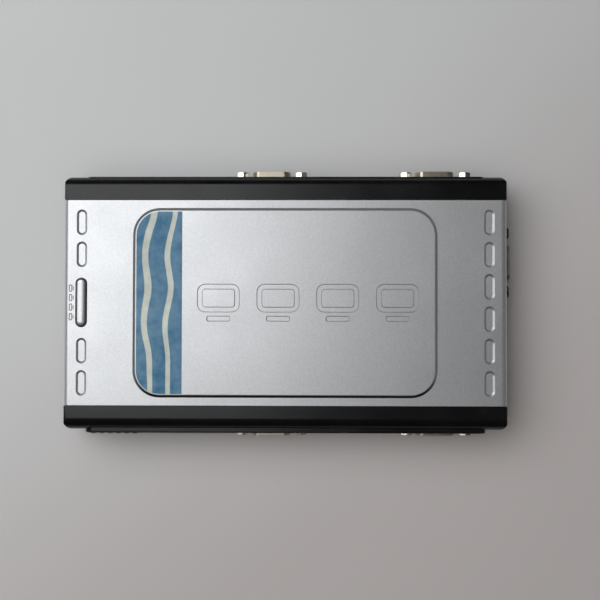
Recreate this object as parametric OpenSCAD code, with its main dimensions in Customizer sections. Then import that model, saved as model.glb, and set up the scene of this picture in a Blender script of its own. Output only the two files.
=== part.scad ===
// Four-port KVM switch: a flat desktop box with a silver cover between two black side rails,
// a port select button and a video, keyboard and mouse socket group for each computer.
// Millimetres, +Z up, X along the case, front long side at -Y, console sockets at +X.

/* [Case] */
// Length of the case over its short ends
case_length = 186; // [152:1:224]
// Width of the case over the two side rails
case_width = 106.5; // [89:0.5:130]
// Width of a side rail's band on top of the case
rail_band = 10; // [8:0.5:12]
// Thickness of the side and end walls
wall = 2.5; // [2:0.1:3]
// Thickness of the top cover
cover_thickness = 2.2; // [1.8:0.1:3]
// Thickness of the floor
floor_thickness = 2; // [1.6:0.1:3]
// Radius along the outer top edge of a rail
rail_edge_radius = 5; // [2.5:0.25:5.5]
// Radius of a rail's upright corners
rail_corner_radius = 3.5; // [1.5:0.25:4.5]
// Radius over the end of a rail's top band
rail_end_radius = 1.2; // [0.5:0.1:2]
// Radius along a rail's lower edge
rail_lower_radius = 1; // [0.5:0.1:1.5]
// Radius where the cover turns down over the short ends
cover_edge_radius = 2.5; // [1:0.25:3]
// Gap that shows between two mouldings
seam = 0.35; // [0.1:0.05:0.5]
// Clearance between hidden faces that slide together
fit = 0.15; // [0.1:0.05:0.3]
// Reach of a rail's tongue below the edge of the cover
tongue_reach = 2; // [1.5:0.1:2.5]
// Width of the ledge with which a rail stands on the floor
ledge_width = 4; // [3:0.5:5]
// Thickness of that ledge
ledge_thickness = 1.5; // [1:0.1:2]
// Width of the bead below the ledge that hooks into the floor
bead_width = 1.2; // [0.8:0.1:1.6]
// Height of that bead
bead_height = 0.8; // [0.5:0.1:1]

/* [Port bezels] */
// Distance from a short end of the case to the end of a bezel
bezel_end_margin = 8.6; // [6:0.1:12]
// Height of a bezel above and below its largest hole
bezel_margin = 1; // [0.6:0.1:1.4]
// Rise of the front bezel above its rail's face
bezel_rise = 1.5; // [0.8:0.1:1.7]
// Rise of the rear bezel above its rail's face
rear_bezel_rise = 0.1; // [0.1:0.1:1.3]
// Corner radius of a bezel
bezel_corner = 3; // [1.5:0.25:5]
// Radius along a bezel's outer edge
bezel_edge = 0.6; // [0.2:0.1:0.8]
// Width of one moulded rib on the front bezel
rib_width = 2.2; // [1.5:0.1:3]
// Distance from one rib to the next
rib_pitch = 3.5; // [3:0.1:5]
// Rise of the ribs above the bezel
rib_rise = 0.5; // [0.3:0.1:0.8]
// Most ribs in the row
rib_limit = 6; // [1:1:10]
// Distance from the end of the bezel to the row of ribs
rib_row_margin = 2; // [1:0.1:4]

/* [Raised panel] */
// Distance from a short end of the case to the raised panel
panel_end_margin = 30; // [26:0.1:34]
// Distance from the edge of the cover to the raised panel
panel_side_margin = 4.2; // [4:0.1:8]
// Corner radius of the raised panel
panel_corner = 10.5; // [6:0.5:14]
// Rise of the panel above the cover
panel_rise = 0.3; // [0.2:0.1:1.2]
// Width of the panel's rounded edge
panel_edge = 0.4; // [0.3:0.1:1.4]
// Width of the groove round the panel
panel_groove_width = 0.9; // [0.5:0.1:1.2]
// Depth of that groove
panel_groove_depth = 0.9; // [0.3:0.05:1.1]
// Width of the label at the panel's left end
label_width = 19.2; // [12:0.1:24]
// Thickness of the label
label_thickness = 0.15; // [0.1:0.05:0.3]
// Distance from the panel's rounded edge to the label
label_inset = 0.2; // [0.1:0.1:1]

/* [Dimples] */
// Length of a dimple at the surface
dimple_length = 10.8; // [8:0.1:12]
// Width of a dimple at the surface
dimple_width = 4.4; // [3:0.1:5]
// Depth of a dimple
dimple_depth = 0.6; // [0.3:0.05:0.8]
// Width of a dimple's sloping side
dimple_slope = 0.9; // [0.3:0.05:1.1]
// Distance from one dimple to the next
dimple_pitch = 13.5; // [13:0.1:16]
// Distance from a short end of the case to the middle of the dimples
dimple_end_margin = 7.5; // [6:0.1:9]

/* [Port button] */
// Length of the button
button_length = 20.3; // [17:0.1:24.4]
// Width of the button
button_width = 4.4; // [4:0.1:5.3]
// Height of the button above the cover
button_stand = 0.9; // [0.7:0.1:1.6]
// Height of the button's domed top
button_dome = 0.6; // [0.4:0.1:0.7]
// Travel of the button
button_travel = 0.6; // [0.3:0.05:0.8]
// Gap round the button in its slot
button_gap = 0.3; // [0.15:0.05:0.4]
// Width of the rim that keeps the button in
button_rim = 1.25; // [1:0.05:1.5]
// Thickness of that rim
button_rim_thickness = 1.4; // [1:0.1:1.8]
// Distance from the left end of the case to the button
button_end_margin = 7.4; // [6.8:0.1:9]
// Side of the tact switch
switch_size = 6; // [5:0.5:7]
// Height of the tact switch's base
switch_base_height = 3.5; // [3:0.1:5]
// Thickness of the tact switch's metal frame
switch_frame_thickness = 0.3; // [0.2:0.05:0.5]
// Radius of the tact switch's plunger
plunger_radius = 1.7; // [1.2:0.1:1.9]
// Thickness of the collar at the plunger's foot
plunger_collar = 1; // [0.8:0.1:1.2]

/* [Video sockets] */
// Distance from the right end of the case to the nearest video socket
video_end_margin = 29.4; // [27:0.1:34]
// Distance between the two video sockets of a side
video_pitch = 69.5; // [64:0.5:80]
// Distance of the console's video socket from the middle of the case
console_video_offset = 17.3; // [16:0.1:20]
// Depth by which the console's sockets stand further back than the others
console_inset = 0.8; // [0:0.1:1]
// Height of the sockets' middle above the board
port_center_height = 6.5; // [6.4:0.1:7]
// Distance between the two jackscrews of a socket
jack_spacing = 24.99; // [24.5:0.01:25.5]
// Width of the flange
flange_width = 30.8; // [30:0.1:32]
// Height of the flange
flange_height = 12.5; // [11:0.1:12.6]
// Corner radius of the flange
flange_corner = 1; // [0.5:0.1:2]
// Thickness of the flange
flange_thickness = 0.8; // [0.6:0.1:1]
// Width of the shell at its wide side
shell_width = 16.33; // [16:0.01:17]
// Height of the shell
shell_height = 7.9; // [7.6:0.1:8.4]
// Corner radius of the shell
shell_corner = 2.6; // [1.5:0.1:3]
// Slope of the shell's short sides in degrees
shell_slope = 10; // [5:1:12]
// Thickness of the shell's sheet metal
shell_sheet = 0.45; // [0.3:0.05:0.6]
// Reach of the shell in front of its flange
shell_reach = 5.8; // [5.5:0.1:6.5]
// Gap round the shell in its window
window_gap = 0.5; // [0.3:0.1:0.8]
// Setback of the insulator's face in the shell
insulator_setback = 0.3; // [0.1:0.1:1]
// Width of the insulator's body behind the flange
insulator_body_width = 19.4; // [19:0.1:19.6]
// Height of the insulator's body above the board
insulator_body_height = 12; // [11:0.1:12.6]
// Depth of the insulator's body behind the flange
insulator_body_depth = 8; // [6:0.1:8.5]
// Radius of a contact hole
contact_radius = 0.55; // [0.4:0.05:0.7]
// Distance between the contacts of a row
contact_pitch = 2.29; // [2.2:0.01:2.4]
// Distance between the three rows of contacts
contact_row_pitch = 1.98; // [1.9:0.01:2.05]
// Depth of the contact holes
contact_depth = 5; // [3:0.5:6]
// Width of a jackscrew across its flats
jack_flats = 4.76; // [4.5:0.01:5]
// Length of a jackscrew's hexagon
jack_length = 5.8; // [5:0.1:6]
// Chamfer at the front of a jackscrew's corners
jack_chamfer = 0.3; // [0.2:0.05:0.6]
// Radius of the threaded hole in a jackscrew
jack_hole_radius = 1.2; // [1:0.05:1.3]
// Depth of that hole
jack_hole_depth = 4.5; // [3:0.1:4.8]
// Radius of the stud behind the hexagon
jack_stud_radius = 1.4; // [1.2:0.05:1.5]
// Radius of the hole for a jackscrew in the wall
jack_window_radius = 3.2; // [3:0.1:3.6]
// Thickness of a board lock's sheet metal
lock_sheet = 1; // [0.8:0.1:1.2]
// Width of a board lock
lock_width = 4.8; // [4.4:0.1:5]
// Depth of a board lock's foot
lock_depth = 5; // [4:0.1:6]

/* [Keyboard and mouse sockets] */
// Width of a round socket's body
din_width = 14; // [13:0.1:17]
// Height of a round socket's body
din_height = 13; // [12.6:0.1:13.6]
// Depth of a round socket's body behind the wall
din_depth = 10; // [9:0.1:10.2]
// Gap between a port's two round sockets
din_space = 0.5; // [0.3:0.1:2]
// Gap between a video socket's flange and the next round socket
din_gap = 1; // [0.5:0.1:2]
// Radius of the collar that shows in the wall
din_collar_radius = 5.7; // [5.4:0.1:5.9]
// Radius of the bore, which takes the plug's metal skirt round the core
din_bore_radius = 4.85; // [4.6:0.05:5]
// Radius of the core in the middle of the bore
din_core_radius = 3.95; // [3.8:0.05:4.1]
// Depth of the bore
din_bore_depth = 8.5; // [6:0.5:9]
// Radius of a round contact hole
din_pin_radius = 0.5; // [0.4:0.05:0.6]
// Radius of the circle of contact holes
din_pin_circle = 2.75; // [2.5:0.05:2.9]
// Width of the key slot
din_key_width = 1.4; // [1.2:0.1:1.8]
// Height of the key slot
din_key_height = 1.9; // [1.5:0.1:2.4]
// Gap round the collar in its hole
din_window_gap = 0.2; // [0.15:0.05:0.4]
// Setback of the collar below the bezel's face
din_setback = 0.7; // [0.5:0.1:1]

/* [Board] */
// Thickness of the circuit board
board_thickness = 1.6; // [1.2:0.1:2]
// Height of the standoffs below the board
standoff_height = 4; // [3.5:0.1:5]
// Gap between the board and the walls
board_gap = 0.5; // [0.3:0.1:0.8]
// Gap between a socket's flange or body and the wall
port_gap = 0.7; // [0.2:0.05:0.8]
// Clear height between the tallest socket and the cover
head_room = 0.7; // [0.5:0.1:1.5]

/* [Fasteners and feet] */
// Distance from a short end of the case to its case screws
screw_end_margin = 20.5; // [19:0.5:24]
// Distance from a rail's face to the case screws
screw_side_margin = 17; // [16:0.5:20]
// Radius of a screw boss
boss_radius = 3.5; // [3:0.1:3.8]
// Radius of a standoff below the board
standoff_radius = 3; // [2.5:0.1:4]
// Radius of a case screw's shank
screw_radius = 1.45; // [1.2:0.05:1.5]
// Radius of a screw head
screw_head_radius = 2.7; // [2.2:0.1:3]
// Height of a screw head
screw_head_height = 1.2; // [1:0.1:1.5]
// Reach of a case screw into the cover's boss
screw_reach = 8; // [5:0.5:10]
// Half the distance between board screws along the case
board_screw_x = 38; // [34:0.5:44]
// Half the distance between board screws across the case
board_screw_y = 20; // [16:0.5:24]
// Radius of a rubber foot
foot_radius = 5.5; // [4:0.1:6]
// Height at which the floor stands above the table
foot_stand = 1.5; // [1:0.1:3]
// Depth of the recess for a foot
foot_recess = 0.5; // [0.3:0.1:0.8]
// Distance from a short end of the case to the feet
foot_end_margin = 10; // [8:0.5:11]
// Distance from a rail's face to the feet
foot_side_margin = 11.5; // [10:0.5:14]
// Radius of an indicator lens
lens_radius = 1.5; // [1.2:0.1:2]
// Height of the indicator lenses above the board
lens_height = 3; // [2.6:0.1:4]
// Distance between the indicator lenses
lens_pitch = 10; // [8:0.5:14]

/* [Hidden] */
$fn = 64;

// Walls, seen from the middle of the case
half_length = case_length / 2;
half_width = case_width / 2;
inner_half_length = half_length - wall;
inner_half_width = half_width - wall;
cover_half_width = half_width - rail_band - seam / 2;
band_half_width = half_width - rail_band + seam / 2;

// Levels, from the feet upwards
floor_bottom = foot_stand;
floor_top = floor_bottom + floor_thickness;
board_bottom = floor_top + standoff_height;
board_top = board_bottom + board_thickness;
port_level = board_top + port_center_height;
cover_bottom = board_top + max(din_height, port_center_height + flange_height / 2) + head_room;
cover_top = cover_bottom + cover_thickness;
panel_top = cover_top + panel_rise;

// Lap between the cover and the rails
tongue_thickness = cover_thickness / 2;
lap_depth = tongue_thickness + fit / 2;
cut = 1;

// Raised panel
panel_half_length = half_length - panel_end_margin;
panel_half_width = cover_half_width - panel_side_margin;
panel_pocket_inset = 2.2;

// Dimples: as many as the cover's width takes, in pairs about the middle
dimple_edge = 1;
dimple_pairs = floor((cover_half_width - dimple_length / 2 - dimple_edge) / dimple_pitch + 0.5);
dimple_x = half_length - dimple_end_margin;
dimple_places = [for (i = [0.5 : dimple_pairs - 0.5], s = [-1, 1]) s * i * dimple_pitch];

// Port button and its tact switch
button_x = button_end_margin - half_length;
button_rim_top = cover_bottom - fit;
button_rim_bottom = button_rim_top - button_rim_thickness;
button_top = cover_top + button_stand;
button_clear = button_length / 2 + dimple_length / 2 + dimple_edge;
stem_length = 0.6;
stem_wall = 0.8;
stem_radius = plunger_radius + stem_wall;
stem_gap = 0.1;
plunger_top = button_rim_bottom - stem_length - stem_gap;
plunger_fit = 0.06;
switch_base_top = board_top + switch_base_height;
plunger_collar_rim = 0.5;
plunger_collar_radius = plunger_radius + plunger_collar_rim;
plunger_collar_top = switch_base_top - plunger_fit;
plunger_end_gap = 0.2;

// Sockets, in a port's own frame: x to the right seen from outside, y up, z outward from the wall
flange_front = -wall - port_gap;
flange_back = flange_front - flange_thickness;
shell_front = flange_front + shell_reach;
video_second = half_length - video_end_margin;
video_first = video_second - video_pitch;
mouse_offset = flange_width / 2 + din_gap + din_width / 2;
keyboard_offset = mouse_offset + din_width + din_space;
din_front = flange_front;
din_window_radius = din_collar_radius + din_window_gap;
console_setback = 0.3;
leg_pitch = 1.27;
PORTS = [
    ["pc1", "front", video_first],
    ["pc2", "front", video_second],
    ["pc3", "rear", video_first],
    ["pc4", "rear", video_second],
    ["console", "end", console_video_offset]
];

// Bezels and their row of ribs
bezel_half_length = half_length - bezel_end_margin;
bezel_height = 2 * (max(din_window_radius, shell_height / 2 + window_gap) + bezel_margin);
bezel_root = wall / 2;
rib_row_start = rib_row_margin - bezel_half_length;
rib_row_end = video_first - keyboard_offset - din_window_radius - 2 * rib_row_margin;
rib_count = max(0, min(rib_limit, floor((rib_row_end - rib_row_start - rib_width) / rib_pitch) + 1));

// Fasteners and feet
screw_places = [for (x = [-1, 1], y = [-1, 1])
    [x * (half_length - screw_end_margin), y * (half_width - screw_side_margin)]];
board_screw_places = [for (x = [-1, 1], y = [-1, 1]) [x * board_screw_x, y * board_screw_y]];
foot_places = [for (x = [-1, 1], y = [-1, 1])
    [x * (half_length - foot_end_margin), y * (half_width - foot_side_margin)]];
lens_places = [for (i = [-1.5 : 1.5]) i * lens_pitch];
lens_level = board_top + lens_height;
lens_stand = 0.3;
thread_fit = 0.05;
head_gap = 0.1;
pilot_end = 0.6;
board_screw_reach = standoff_height;

// The frame's middle lies halfway between the lenses at the left end and the console's shell
frame_shift = (lens_stand - shell_front + console_inset) / 2;

// Outline of a rectangle with round corners, about its middle
module rounded_outline(length, width, radius) {
    square([length - 2 * radius, width], center = true);
    square([length, width - 2 * radius], center = true);
    for (x = [-1, 1], y = [-1, 1])
        translate([x * (length / 2 - radius), y * (width / 2 - radius)]) circle(radius);
}

// Outline of a slot along y, with half round ends, about its middle
module slot_outline(length, width) {
    square([width, length - width], center = true);
    for (s = [-1, 1]) translate([0, s * (length - width) / 2]) circle(width / 2);
}

// Half of a slot's section, swept along a line with half turns at both ends
module swept_slot(length, width) {
    run = length - width;
    for (s = [0, 180])
        rotate(s) translate([0, run / 2]) rotate_extrude(angle = 180) children();
    for (s = [0, 180])
        rotate(s) translate([0, run / 2]) rotate([90, 0, 0]) linear_extrude(run) children();
}

// Half section of a pad: its top turns down over an edge, along an arc that is level at the top
module edge_section(reach, height, edge, drop) {
    arc_radius = (edge * edge + drop * drop) / (2 * drop);
    intersection() {
        square([reach, height]);
        union() {
            if (height > drop) square([reach, height - drop]);
            square([reach - edge, height]);
            translate([reach - edge, height - arc_radius]) circle(arc_radius);
        }
    }
}

// A section, drawn outward from the centre of a corner, swept round a rectangle with round corners
module swept_frame(length, width, corner) {
    straight_x = length - 2 * corner;
    straight_y = width - 2 * corner;
    for (turn = [0, 180]) rotate(turn) {
        translate([straight_x / 2, straight_y / 2, 0]) rotate_extrude(angle = 90) children();
        translate([-straight_x / 2, straight_y / 2, 0])
            rotate([0, 0, 90]) rotate_extrude(angle = 90) children();
        translate([straight_x / 2, straight_y / 2, 0])
            rotate([90, 0, 0]) linear_extrude(straight_y) children();
        translate([straight_x / 2, straight_y / 2, 0])
            rotate([90, 0, -90]) mirror([1, 0, 0]) linear_extrude(straight_x) children();
    }
}

// Pad with round corners and a soft top edge, standing on z = 0
module soft_pad(length, width, corner, height, edge, drop) {
    straight_x = length - 2 * corner;
    straight_y = width - 2 * corner;
    translate([-straight_x / 2, -straight_y / 2, 0]) cube([straight_x, straight_y, height]);
    swept_frame(length, width, corner) edge_section(corner, height, edge, drop);
}

// Outline of a video socket's shell with its narrow side up, grown by a margin; its flat sides cut
// the round corners a hair inside the tangent, so that each corner stays one clean arc
module shell_outline(grow) {
    tangent_inset = 0.005;
    radius = shell_corner + grow;
    reach = radius - tangent_inset;
    mid_y = shell_height / 2 - shell_corner;
    wide_x = shell_width / 2 - shell_corner;
    narrow_x = wide_x - 2 * mid_y * tan(shell_slope);
    side = [cos(shell_slope), sin(shell_slope)] * reach;
    polygon([
        [narrow_x, mid_y + reach],
        [narrow_x, mid_y] + side,
        [wide_x, -mid_y] + side,
        [wide_x, -mid_y - reach],
        [-wide_x, -mid_y - reach],
        [-wide_x - side[0], -mid_y + side[1]],
        [-narrow_x - side[0], mid_y + side[1]],
        [-narrow_x, mid_y + reach]
    ]);
    for (s = [-1, 1]) {
        translate([s * narrow_x, mid_y]) circle(radius);
        translate([s * wide_x, -mid_y]) circle(radius);
    }
}

// Children placed at a port: the wall's outer face, or a little behind it on the console's end, at the
// middle of the port's video socket
module at_port(port) {
    place = port[2];
    if (port[1] == "front") translate([place, -half_width, port_level]) rotate([90, 0, 0]) children();
    if (port[1] == "rear") translate([place, half_width, port_level]) rotate([90, 0, 180]) children();
    if (port[1] == "end")
        translate([half_length - console_inset, place, port_level]) rotate([90, 0, 90]) children();
}

// The round sockets lie towards the left end of the case, or the front on the console's end
function din_side(port) = port[1] == "rear" ? 1 : -1;

// Everything that passes through the wall at a port
module port_windows(port) {
    depth = 2 * (wall + bezel_rise + cut);
    at_port(port) translate([0, 0, -depth / 2]) linear_extrude(depth) {
        shell_outline(window_gap);
        for (s = [-1, 1]) translate([s * jack_spacing / 2, 0]) circle(jack_window_radius);
        for (x = [mouse_offset, keyboard_offset])
            translate([din_side(port) * x, 0]) circle(din_window_radius);
    }
}

// Upright part of the case's plan with the rails' round corners
module case_plan(height) {
    linear_extrude(height) rounded_outline(case_length, case_width, rail_corner_radius);
}

// Section of a rail's outer form, in y and z, for the front side
module rail_section() {
    rail_height = cover_top - floor_bottom;
    lower = rail_lower_radius;
    upper = rail_edge_radius;
    translate([-half_width, floor_bottom]) {
        translate([0, lower]) square([rail_band - seam / 2, rail_height - lower - upper]);
        translate([lower, 0]) square([rail_band - seam / 2 - lower, rail_height - upper]);
        translate([upper, 0]) square([rail_band - seam / 2 - upper, rail_height]);
        translate([lower, lower]) circle(lower);
        translate([upper, rail_height - upper]) circle(upper);
    }
}

// Side view of a rail: its ends, rounded over at the top
module rail_side_view() {
    rail_height = cover_top - floor_bottom;
    translate([-half_length, floor_bottom]) {
        square([case_length, rail_height - rail_end_radius]);
        translate([rail_end_radius, 0]) square([case_length - 2 * rail_end_radius, rail_height]);
        for (x = [rail_end_radius, case_length - rail_end_radius])
            translate([x, rail_height - rail_end_radius]) circle(rail_end_radius);
    }
}

// Raised bezel on a rail, in the port frame with its middle at x = 0 and its root in the wall
module bezel(rise) {
    translate([0, 0, -bezel_root])
        soft_pad(2 * bezel_half_length, bezel_height, bezel_corner, rise + bezel_root,
                 bezel_edge, bezel_edge);
}

// One side rail, drawn for the front: an open shell with a bezel, a tongue and a ledge
module rail(ports, rise, ribs) {
    inner_length = 2 * inner_half_length;
    difference() {
        union() {
            intersection() {
                translate([-half_length, 0, 0]) rotate([90, 0, 90])
                    linear_extrude(case_length) rail_section();
                rotate([90, 0, 0]) linear_extrude(half_width + cut) rail_side_view();
                case_plan(cover_top + cut);
            }
            translate([0, -half_width, port_level]) rotate([90, 0, 0]) bezel(rise);
            for (i = [0 : 1 : ribs - 1])
                translate([rib_row_start + rib_width / 2 + i * rib_pitch, -half_width, port_level])
                    rotate([90, 0, 0]) linear_extrude(rise + rib_rise)
                        rounded_outline(rib_width, bezel_height / 2, rib_width / 3);
        }
        translate([-inner_half_length, -inner_half_width, floor_bottom - cut])
            cube([inner_length, half_width, cover_bottom - floor_bottom + cut]);
        for (p = ports) port_windows(p);
    }
    tongue_length = inner_length - 2 * fit;
    translate([-tongue_length / 2, -band_half_width, cover_bottom])
        cube([tongue_length, tongue_reach + seam, tongue_thickness]);
    translate([-inner_half_length, -inner_half_width, floor_top + fit])
        cube([inner_length, ledge_width, ledge_thickness]);
    translate([-inner_half_length + wall, -inner_half_width + ledge_width - bead_width,
               floor_top + fit - bead_height])
        cube([inner_length - 2 * wall, bead_width, bead_height]);
}

module front_rail() {
    color("#202124") rail([for (p = PORTS) if (p[1] == "front") p], bezel_rise, rib_count);
}

module rear_rail() {
    color("#202124") mirror([0, 1, 0])
        rail([for (p = PORTS) if (p[1] == "front") p], rear_bezel_rise, 0);
}

// Section of the cover, in x and z: a flat top that turns down over both short ends
module cover_section() {
    skirt_bottom = port_level + seam / 2;
    difference() {
        union() {
            translate([-half_length, skirt_bottom])
                square([case_length, cover_top - skirt_bottom - cover_edge_radius]);
            translate([cover_edge_radius - half_length, skirt_bottom])
                square([case_length - 2 * cover_edge_radius, cover_top - skirt_bottom]);
            for (s = [-1, 1])
                translate([s * (half_length - cover_edge_radius), cover_top - cover_edge_radius])
                    circle(cover_edge_radius);
        }
        translate([-inner_half_length, skirt_bottom - cut])
            square([2 * inner_half_length, cover_bottom - skirt_bottom + cut]);
    }
}

// Shallow oval dimple, cut down from z = 0
module dimple() {
    top = dimple_width / 2;
    swept_slot(dimple_length, dimple_width)
        polygon([[0, -dimple_depth], [top - dimple_slope, -dimple_depth],
                 [top, 0], [top, cut], [0, cut]]);
}

module top_cover() {
    boss_bottom = board_top + head_gap;
    color("#c4c6c9") difference() {
        union() {
            translate([0, cover_half_width, 0]) rotate([90, 0, 0])
                linear_extrude(2 * cover_half_width) cover_section();
            translate([0, 0, cover_top])
                soft_pad(2 * panel_half_length, 2 * panel_half_width, panel_corner, panel_rise,
                         panel_edge, panel_rise);
            for (place = screw_places)
                translate([place[0], place[1], boss_bottom])
                    cylinder(r = boss_radius, h = cover_bottom - boss_bottom);
        }
        translate([0, 0, cover_top])
            swept_frame(2 * panel_half_length, 2 * panel_half_width, panel_corner)
                translate([panel_corner, 0])
                    polygon([[0, cut], [0, 0], [panel_groove_width / 2, -panel_groove_depth],
                             [panel_groove_width, 0], [panel_groove_width, cut]]);
        translate([0, 0, cover_bottom - cut]) linear_extrude(panel_rise + cut)
            rounded_outline(2 * (panel_half_length - panel_pocket_inset),
                            2 * (panel_half_width - panel_pocket_inset),
                            panel_corner - panel_pocket_inset);
        for (y = dimple_places) {
            translate([dimple_x, y, cover_top]) dimple();
            if (abs(y) > button_clear) translate([-dimple_x, y, cover_top]) dimple();
        }
        translate([button_x, 0, cover_bottom - cut]) linear_extrude(cover_thickness + 2 * cut)
            slot_outline(button_length + 2 * button_gap, button_width + 2 * button_gap);
        for (s = [-1, 1])
            translate([-inner_half_length, s * cover_half_width - tongue_reach - fit, cover_bottom - cut])
                cube([2 * inner_half_length, 2 * (tongue_reach + fit), lap_depth + cut]);
        for (place = screw_places)
            translate([place[0], place[1], boss_bottom - cut])
                cylinder(r = screw_radius + thread_fit, h = screw_reach + pilot_end + cut);
        port_windows(PORTS[len(PORTS) - 1]);
    }
}

// Section of the floor and its two lower end walls, in x and z, rounded like the rails below
module floor_section() {
    wall_top = port_level - seam / 2;
    lower = rail_lower_radius;
    difference() {
        union() {
            translate([-half_length, floor_bottom + lower])
                square([case_length, wall_top - floor_bottom - lower]);
            translate([lower - half_length, floor_bottom])
                square([case_length - 2 * lower, wall_top - floor_bottom]);
            for (s = [-1, 1]) translate([s * (half_length - lower), floor_bottom + lower]) circle(lower);
        }
        translate([-inner_half_length, floor_top])
            square([2 * inner_half_length, wall_top - floor_top + cut]);
    }
}

// Floor with its two lower end walls; the corners are left free for the rails
module bottom_case() {
    wing_half_width = inner_half_width - fit;
    wing_half_length = inner_half_length - fit;
    groove_y = inner_half_width - ledge_width - fit;
    color("#1c1d1f") difference() {
        union() {
            translate([0, cover_half_width, 0]) rotate([90, 0, 0])
                linear_extrude(2 * cover_half_width) floor_section();
            translate([-wing_half_length, -wing_half_width, floor_bottom])
                cube([2 * wing_half_length, 2 * wing_half_width, floor_thickness]);
            for (place = screw_places)
                translate([place[0], place[1], floor_bottom])
                    cylinder(r = boss_radius, h = board_bottom - floor_bottom);
            for (place = board_screw_places)
                translate([place[0], place[1], floor_bottom])
                    cylinder(r = standoff_radius, h = board_bottom - floor_bottom);
        }
        for (s = [-1, 1])
            translate([-wing_half_length - cut, s * (groove_y + bead_width / 2 + fit) - bead_width / 2 - fit,
                       floor_top - bead_height])
                cube([2 * (wing_half_length + cut), bead_width + 2 * fit, bead_height + cut]);
        for (place = screw_places) translate([place[0], place[1], floor_bottom - cut]) {
            cylinder(r = screw_radius + 2 * thread_fit, h = board_bottom - floor_bottom + 2 * cut);
            cylinder(r = screw_head_radius + fit, h = screw_head_height + head_gap + cut);
        }
        for (place = board_screw_places)
            translate([place[0], place[1], board_bottom - board_screw_reach - pilot_end])
                cylinder(r = screw_radius + thread_fit, h = board_screw_reach + pilot_end + cut);
        for (place = foot_places)
            translate([place[0], place[1], floor_bottom - cut])
                cylinder(r = foot_radius + fit, h = foot_recess + cut);
        for (y = lens_places)
            translate([-half_length - cut, y, lens_level]) rotate([0, 90, 0])
                cylinder(r = lens_radius + thread_fit, h = wall + 2 * cut);
        port_windows(PORTS[len(PORTS) - 1]);
    }
}

// Printed label that follows the panel's left corners
module label() {
    inset = panel_edge + label_inset;
    color("#4d7896") translate([0, 0, panel_top]) linear_extrude(label_thickness) intersection() {
        rounded_outline(2 * (panel_half_length - inset), 2 * (panel_half_width - inset),
                        panel_corner - inset);
        translate([inset - panel_half_length, -half_width]) square([label_width, case_width]);
    }
}

// Silver pill with a domed top, a rim below the cover and a short stem
module port_button() {
    half = button_width / 2;
    body_height = button_top - button_rim_top;
    dome_radius = (half * half + button_dome * button_dome) / (2 * button_dome);
    rim_width = button_width + 2 * button_rim;
    color("#b4b7bb") translate([button_x, 0, 0]) {
        translate([0, 0, button_rim_top]) swept_slot(button_length, button_width) intersection() {
            square([half, body_height]);
            union() {
                square([half, body_height - button_dome]);
                translate([0, body_height - dome_radius]) circle(dome_radius);
            }
        }
        translate([0, 0, button_rim_bottom]) linear_extrude(button_rim_thickness)
            slot_outline(button_length + 2 * button_rim, rim_width);
        translate([0, 0, button_rim_bottom - stem_length]) cylinder(r = stem_radius, h = stem_length);
    }
}

// Tact switch on the board below the button: base, metal frame and plunger
module switch_base() {
    well_bottom = plunger_collar_top - plunger_collar - button_travel - plunger_end_gap;
    color("#2a2a2c") translate([button_x, 0, 0]) difference() {
        translate([-switch_size / 2, -switch_size / 2, board_top])
            cube([switch_size, switch_size, switch_base_height]);
        translate([0, 0, well_bottom])
            cylinder(r = plunger_collar_radius + plunger_fit, h = switch_base_top - well_bottom + cut);
    }
}

module switch_frame() {
    color("#b9bbbd") translate([button_x, 0, switch_base_top]) linear_extrude(switch_frame_thickness)
        difference() {
            square(switch_size, center = true);
            circle(plunger_radius + plunger_fit);
        }
}

module switch_plunger() {
    color("#303032") translate([button_x, 0, 0]) {
        translate([0, 0, plunger_collar_top - plunger_collar])
            cylinder(r = plunger_collar_radius, h = plunger_collar);
        translate([0, 0, plunger_collar_top])
            cylinder(r = plunger_radius, h = plunger_top - plunger_collar_top);
    }
}

module main_board() {
    color("#1f5a36") difference() {
        translate([board_gap - inner_half_length, board_gap - inner_half_width, board_bottom])
            cube([2 * (inner_half_length - board_gap), 2 * (inner_half_width - board_gap), board_thickness]);
        for (place = concat(screw_places, board_screw_places))
            translate([place[0], place[1], board_bottom - cut])
                cylinder(r = screw_radius + fit, h = board_thickness + 2 * cut);
    }
}

// Stamped shell: a flange with a hollow nose
module vga_shell() {
    color("#b8b2a4") difference() {
        union() {
            translate([0, 0, flange_back]) linear_extrude(flange_thickness)
                rounded_outline(flange_width, flange_height, flange_corner);
            translate([0, 0, flange_back]) linear_extrude(shell_front - flange_back) shell_outline(0);
        }
        translate([0, 0, flange_back - cut]) linear_extrude(shell_front - flange_back + 2 * cut)
            shell_outline(-shell_sheet);
        for (s = [-1, 1])
            translate([s * jack_spacing / 2, 0, flange_back - cut])
                cylinder(r = jack_stud_radius + thread_fit, h = flange_thickness + 2 * cut);
    }
}

// Insulator: fills the nose, with three rows of five contacts, and stands on the board behind
module vga_insulator() {
    face = shell_front - insulator_setback;
    color("#2f4fa0") difference() {
        union() {
            translate([0, 0, flange_back]) linear_extrude(face - flange_back)
                shell_outline(-shell_sheet - thread_fit);
            translate([-insulator_body_width / 2, -port_center_height, flange_back - insulator_body_depth])
                cube([insulator_body_width, insulator_body_height, insulator_body_depth]);
        }
        for (row = [-1 : 1], i = [-2 : 2])
            translate([(i + row / 4) * contact_pitch, row * contact_row_pitch, face - contact_depth])
                cylinder(r = contact_radius, h = contact_depth + cut);
    }
}

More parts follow.
